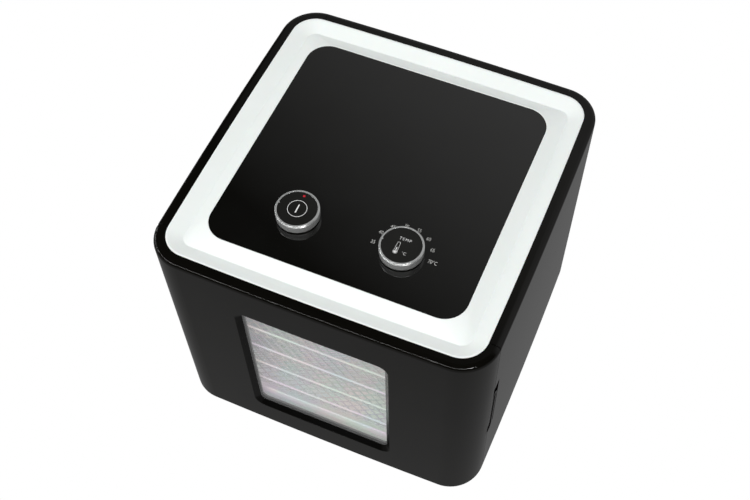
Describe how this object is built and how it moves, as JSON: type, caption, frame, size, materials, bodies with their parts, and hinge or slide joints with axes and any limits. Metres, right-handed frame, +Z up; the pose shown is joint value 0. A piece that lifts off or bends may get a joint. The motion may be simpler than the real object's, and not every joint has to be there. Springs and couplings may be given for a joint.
{
  "type": "food dehydrator",
  "caption": "Box-shaped food dehydrator with a side-hinged glazed door, stacked slide-in trays, rear fan heater, push power button and rotary temperature knob.",
  "frame": {"origin": "on the surface it stands on, under the middle of the cabinet", "axes": "+Z up, -Y out of the door, +X to the right when facing the door"},
  "size_m": [0.34, 0.34, 0.2962],
  "materials": {
    "case": "satin black moulding, shiny at the rim",
    "white_trim": "satin white moulding",
    "control_gloss": "high gloss black",
    "bezel_gloss": "high gloss black",
    "window_glass": "clear",
    "knob_metal": "circular brushed, bright bevel",
    "knob_disc": "high gloss black",
    "red_lens": "clear red",
    "tray_clear": "clear milky polycarbonate",
    "chamber_sheet": "light grey coated sheet",
    "inner_plastic": "matt black",
    "rubber": "matt",
    "seal_rubber": "matt grey silicone",
    "steel": "zinc plated",
    "sheet_steel": "galvanised sheet",
    "motor_steel": "laminated core and tape",
    "heater_tube": "heat tinted sheath",
    "fan_plastic": "matt black",
    "circuit_board": "green resist",
    "magnet": "ferrite"
  },
  "bodies": {
    "cabinet": {"side_panel_left": "case", "side_panel_right": "case", "rear_panel": "case", "top_frame": "white_trim", "control_panel": "control_gloss", "base_plate": "case", "feet": "rubber", "foot_screws": "steel", "rear_screws": "steel", "rear_posts": "inner_plastic", "cord_grommet": "rubber", "front_frame": "inner_plastic", "pull_pocket": "inner_plastic", "door_magnet": "magnet", "chamber_wall_left": "chamber_sheet", "chamber_wall_right": "chamber_sheet", "chamber_floor": "chamber_sheet", "chamber_ceiling": "chamber_sheet", "rear_baffle": "chamber_sheet", "motor_plate": "sheet_steel", "fan_shroud": "sheet_steel", "fan_motor": "motor_steel", "heater_coil": "heater_tube", "heater_clips": "sheet_steel", "thermal_cutout": "inner_plastic", "temperature_probe": "steel", "hinge_leaf_lower": "sheet_steel", "hinge_leaf_upper": "sheet_steel", "hinge_pins": "steel", "hinge_screws": "steel", "control_board": "circuit_board", "board_spacers": "steel", "power_switch": "inner_plastic", "temp_potentiometer": "inner_plastic"},
    "door": {"door_shell": "case", "door_inner_panel": "inner_plastic", "window_bezel": "bezel_gloss", "window_pane": "window_glass", "window_gasket": "rubber", "door_seal": "seal_rubber", "door_pull": "bezel_gloss", "strike_plate": "steel", "door_screws": "steel"},
    "power_button": {"power_button_ring": "knob_metal", "power_button_cap": "knob_disc", "power_light": "red_lens", "power_spring": "steel"},
    "temp_knob": {"temp_knob_ring": "knob_metal", "temp_knob_cap": "knob_disc", "temp_shaft": "steel"},
    "fan": {"fan_wheel": "fan_plastic", "fan_shaft": "steel"},
    "drip_drawer": {"drip_tray": "tray_clear"},
    "tray_1": {"tray_1": "tray_clear"},
    "tray_2": {"tray_2": "tray_clear"},
    "tray_3": {"tray_3": "tray_clear"},
    "tray_4": {"tray_4": "tray_clear"},
    "tray_5": {"tray_5": "tray_clear"},
    "tray_6": {"tray_6": "tray_clear"}
  },
  "joints": [
    {"name": "door_hinge", "type": "hinge", "parent": "cabinet", "child": "door", "pos_m": [-0.16367, -0.1379, 0.145], "axis": [0, 0, -1], "range_deg": [0, 112]},
    {"name": "power_button_press", "type": "slide", "parent": "cabinet", "child": "power_button", "axis": [0, 0, -1], "range_m": [0, 0.0012], "stiffness_N_per_m": 800, "springref_m": -0.0006, "deforming": ["power_spring"]},
    {"name": "temp_knob_turn", "type": "hinge", "parent": "cabinet", "child": "temp_knob", "pos_m": [0.0517, -0.0759, 0.285], "axis": [0, 0, -1], "range_deg": [0, 180]},
    {"name": "fan_spin", "type": "hinge", "parent": "cabinet", "child": "fan", "pos_m": [0, 0.114, 0.1425], "axis": [0, 1, 0], "continuous": true},
    {"name": "tray_1_slide", "type": "slide", "parent": "cabinet", "child": "tray_1", "axis": [0, -1, 0], "range_m": [0, 0.0962]},
    {"name": "tray_2_slide", "type": "slide", "parent": "cabinet", "child": "tray_2", "axis": [0, -1, 0], "range_m": [0, 0.0884]},
    {"name": "tray_3_slide", "type": "slide", "parent": "cabinet", "child": "tray_3", "axis": [0, -1, 0], "range_m": [0, 0.0805]},
    {"name": "tray_4_slide", "type": "slide", "parent": "cabinet", "child": "tray_4", "axis": [0, -1, 0], "range_m": [0, 0.0727]},
    {"name": "tray_5_slide", "type": "slide", "parent": "cabinet", "child": "tray_5", "axis": [0, -1, 0], "range_m": [0, 0.0649]},
    {"name": "tray_6_slide", "type": "slide", "parent": "cabinet", "child": "tray_6", "axis": [0, -1, 0], "range_m": [0, 0.0571]},
    {"name": "drip_tray_slide", "type": "slide", "parent": "cabinet", "child": "drip_drawer", "axis": [0, -1, 0], "range_m": [0, 0.0962]}
  ],
  "couplings": [
    {"joint": "tray_1_slide", "follows": "door_hinge", "m_per_rad": 0.049},
    {"joint": "tray_2_slide", "follows": "door_hinge", "m_per_rad": 0.045},
    {"joint": "tray_3_slide", "follows": "door_hinge", "m_per_rad": 0.041},
    {"joint": "tray_4_slide", "follows": "door_hinge", "m_per_rad": 0.037},
    {"joint": "tray_5_slide", "follows": "door_hinge", "m_per_rad": 0.033},
    {"joint": "tray_6_slide", "follows": "door_hinge", "m_per_rad": 0.029},
    {"joint": "drip_tray_slide", "follows": "door_hinge", "m_per_rad": 0.049}
  ]
}
